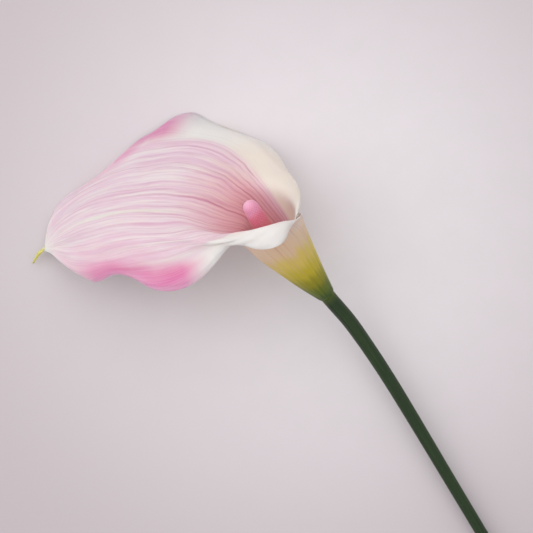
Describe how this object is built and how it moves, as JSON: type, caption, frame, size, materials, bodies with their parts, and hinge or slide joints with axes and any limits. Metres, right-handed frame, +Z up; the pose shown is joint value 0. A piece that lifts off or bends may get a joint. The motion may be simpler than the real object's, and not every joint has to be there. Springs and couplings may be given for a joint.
{
  "type": "calla lily flower",
  "caption": "Cut calla lily flower lying on its stem: one leaf rolled into a funnel with a broad flaring limb and a thin tail, around a rod-shaped spadix.",
  "frame": {"origin": "centre of the bounding box's bottom face, on the surface the flower lies on", "axes": "+Y along the straight part of the stem towards the flower, +Z up from the surface, +X across, away from the spathe's tip"},
  "size_m": [0.1268, 0.4066, 0.0708],
  "materials": {
    "spathe": "satin",
    "spadix": "matte",
    "stem": "satin"
  },
  "bodies": {
    "root": {"spathe": "spathe", "spadix": "spadix", "stem": "stem"}
  },
  "joints": []
}
